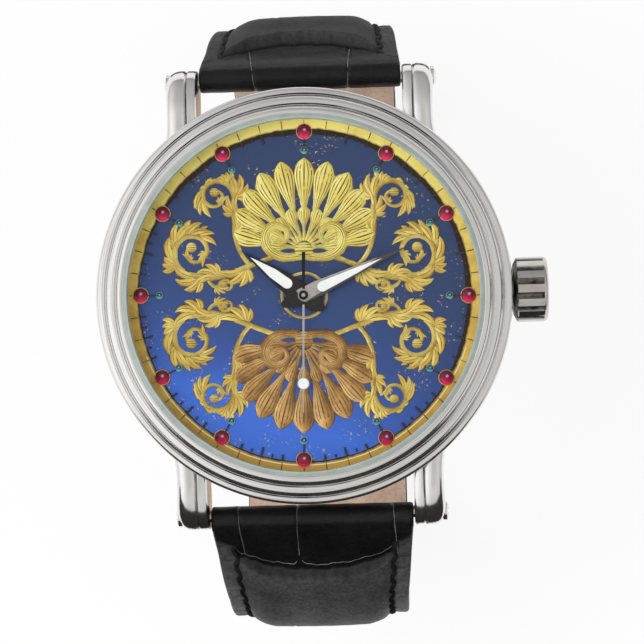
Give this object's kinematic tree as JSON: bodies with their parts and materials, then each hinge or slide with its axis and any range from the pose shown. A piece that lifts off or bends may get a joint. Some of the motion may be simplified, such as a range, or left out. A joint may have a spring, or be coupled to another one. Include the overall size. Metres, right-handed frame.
{
  "type": "analog wristwatch",
  "caption": "Round steel wristwatch with an ornamental blue dial, a stepped bezel and a fluted crown, on a buckled black crocodile-grain leather strap with a tan lining.",
  "frame": {"origin": "centre of the case back's outer face", "axes": "+Z out of the dial, +Y towards 12 o'clock, +X towards the crown"},
  "size_m": [0.0478, 0.0695, 0.0515],
  "materials": {
    "polished_steel": "polished stainless steel",
    "crystal": "clear mineral glass with a ground edge",
    "white_gasket": "moulded seal",
    "black_gasket": "rubber seal",
    "steel_pin": "turned steel",
    "dial_plate": "blue enamelled print with gold ornament",
    "marker_stone": "domed red stones in gold collets",
    "hand_metal": "dark polished metal",
    "hand_silver": "silver-coloured metal",
    "lume": "white luminous paint",
    "holder_plastic": "moulded plastic",
    "plate_brass": "brushed brass",
    "wheel_brass": "gilt brass",
    "screw_steel": "slotted steel",
    "board": "green laminate",
    "can_metal": "drawn metal can",
    "coil_wire": "enamelled copper wire",
    "soft_iron": "laminated soft iron",
    "cell_steel": "nickel-plated steel",
    "magnet": "sintered magnet on a steel arbor",
    "strap_leather": "glossy black leather embossed with a crocodile grain",
    "lining_leather": "smooth tan leather",
    "keeper_leather": "smooth black leather"
  },
  "bodies": {
    "case": {"mid_case": "polished_steel", "bezel": "polished_steel", "crystal": "crystal", "crystal_gasket": "white_gasket", "case_back": "polished_steel", "back_gasket": "black_gasket", "crown_tube": "steel_pin", "strap_bars": "steel_pin", "bar_screws": "polished_steel", "dial": "dial_plate", "hour_markers": "marker_stone", "movement_holder": "holder_plastic", "main_plate": "plate_brass", "train_bridge": "plate_brass", "bridge_screws": "screw_steel", "circuit_board": "board", "quartz_can": "can_metal", "coil": "coil_wire", "stator": "soft_iron", "battery": "cell_steel", "battery_clamp": "screw_steel", "short_strap": "strap_leather", "short_lining": "lining_leather", "long_strap": "strap_leather", "long_lining": "lining_leather", "fixed_keeper": "keeper_leather", "buckle_frame": "polished_steel", "buckle_bar": "steel_pin"},
    "crown_slide": {"crown_gasket": "black_gasket"},
    "crown": {"crown": "polished_steel", "stem": "steel_pin", "clutch_pinion": "wheel_brass"},
    "lever": {"setting_lever": "steel_pin"},
    "seconds": {"seconds_wheel": "wheel_brass", "seconds_hand": "hand_metal", "seconds_dot": "lume"},
    "fifth": {"fifth_wheel": "wheel_brass"},
    "rotor": {"rotor": "magnet"},
    "third": {"third_wheel": "wheel_brass"},
    "minute": {"centre_wheel": "wheel_brass", "cannon_pinion": "wheel_brass", "minute_hand": "hand_silver", "minute_lume": "lume"},
    "minute_work": {"minute_wheel": "wheel_brass"},
    "setting": {"setting_wheel": "wheel_brass"},
    "hour": {"hour_wheel": "wheel_brass", "hour_hand": "hand_metal", "hour_lume": "lume"},
    "tongue": {"buckle_tongue": "polished_steel"},
    "keeper": {"free_keeper": "keeper_leather"}
  },
  "joints": [
    {"name": "seconds_turn", "type": "hinge", "parent": "case", "child": "seconds", "pos_m": [0, 0, 0.005], "axis": [0, 0, 1], "continuous": true},
    {"name": "fifth_turn", "type": "hinge", "parent": "case", "child": "fifth", "pos_m": [0.00083, 0.00311, 0.0036], "axis": [0, 0, 1], "continuous": true},
    {"name": "rotor_turn", "type": "hinge", "parent": "case", "child": "rotor", "pos_m": [0.00009, 0.00514, 0.0036], "axis": [0, 0, 1], "continuous": true},
    {"name": "third_turn", "type": "hinge", "parent": "case", "child": "third", "pos_m": [-0.00294, -0.00137, 0.0036], "axis": [0, 0, 1], "continuous": true},
    {"name": "minute_turn", "type": "hinge", "parent": "case", "child": "minute", "pos_m": [0, 0, 0.005], "axis": [0, 0, 1], "continuous": true},
    {"name": "minute_work_turn", "type": "hinge", "parent": "case", "child": "minute_work", "pos_m": [0.00189, -0.00148, 0.0056], "axis": [0, 0, 1], "continuous": true},
    {"name": "setting_turn", "type": "hinge", "parent": "case", "child": "setting", "pos_m": [0.00463, -0.0009, 0.0056], "axis": [0, 0, 1], "continuous": true},
    {"name": "hour_turn", "type": "hinge", "parent": "case", "child": "hour", "pos_m": [0, 0, 0.0058], "axis": [0, 0, 1], "continuous": true},
    {"name": "crown_pull", "type": "slide", "parent": "case", "child": "crown_slide", "axis": [1, 0, 0], "range_m": [0, 0.001]},
    {"name": "crown_turn", "type": "hinge", "parent": "crown_slide", "child": "crown", "pos_m": [0.023, 0, 0.0039], "axis": [1, 0, 0], "continuous": true},
    {"name": "lever_swing", "type": "hinge", "parent": "case", "child": "lever", "pos_m": [0.0104, 0.0032, 0.0031], "axis": [0, 0, 1], "range_deg": [0, 18]},
    {"name": "tongue_lift", "type": "hinge", "parent": "case", "child": "tongue", "pos_m": [0, 0.002, -0.03716], "axis": [1, 0, 0], "range_deg": [0, 8]},
    {"name": "keeper_slide", "type": "slide", "parent": "case", "child": "keeper", "axis": [0, 1, 0], "range_m": [-0.002, 0.002]}
  ],
  "couplings": [
    {"joint": "fifth_turn", "follows": "seconds_turn", "ratio": -6},
    {"joint": "rotor_turn", "follows": "seconds_turn", "ratio": 30},
    {"joint": "third_turn", "follows": "seconds_turn", "ratio": -0.13333},
    {"joint": "minute_turn", "follows": "seconds_turn", "ratio": 0.016667},
    {"joint": "minute_work_turn", "follows": "seconds_turn", "ratio": -0.0055556},
    {"joint": "setting_turn", "follows": "seconds_turn", "ratio": 0.01},
    {"joint": "hour_turn", "follows": "seconds_turn", "ratio": 0.0013889},
    {"joint": "lever_swing", "follows": "crown_pull", "rad_per_m": 312.5}
  ]
}
